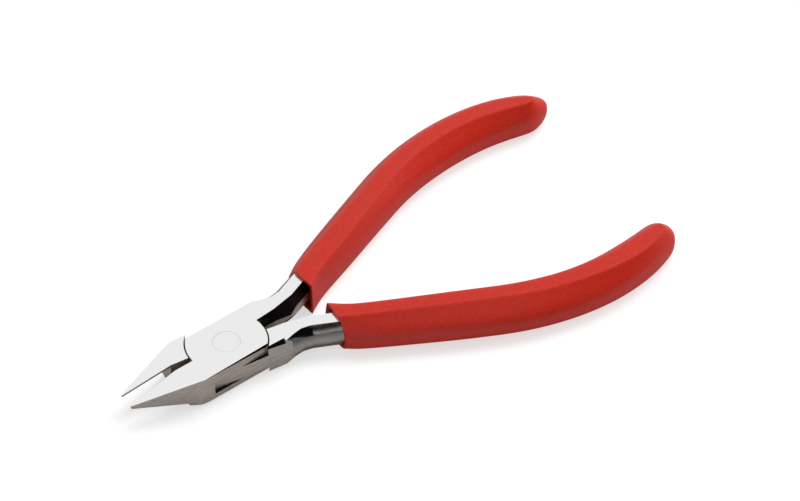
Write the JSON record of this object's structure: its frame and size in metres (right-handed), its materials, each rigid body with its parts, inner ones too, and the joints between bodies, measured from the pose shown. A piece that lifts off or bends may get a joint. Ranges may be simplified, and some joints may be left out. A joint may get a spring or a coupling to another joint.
{
  "type": "diagonal side cutter",
  "caption": "Small box-joint diagonal side cutter with pointed flush jaws and two red dipped plastic grips, shown slightly open.",
  "frame": {"origin": "on the pivot axis, at the flat underside of the joint", "axes": "+X from the pivot towards the grips, +Y towards the grip of the slotted half, +Z along the pivot out of the flush side"},
  "size_m": [0.114, 0.0602, 0.0078],
  "materials": {
    "polished_steel": "ground and polished",
    "red_sleeve": "satin dipped PVC"
  },
  "bodies": {
    "slotted": {"slotted_half": "polished_steel", "pivot_rivet": "polished_steel", "slotted_half_sleeve": "red_sleeve"},
    "through": {"through_half": "polished_steel", "through_half_sleeve": "red_sleeve"}
  },
  "joints": [
    {"name": "box_joint", "type": "hinge", "parent": "slotted", "child": "through", "pos_m": [0, 0, 0.0032], "axis": [0, 0, -1], "range_deg": [-7.7, 17.3]}
  ]
}
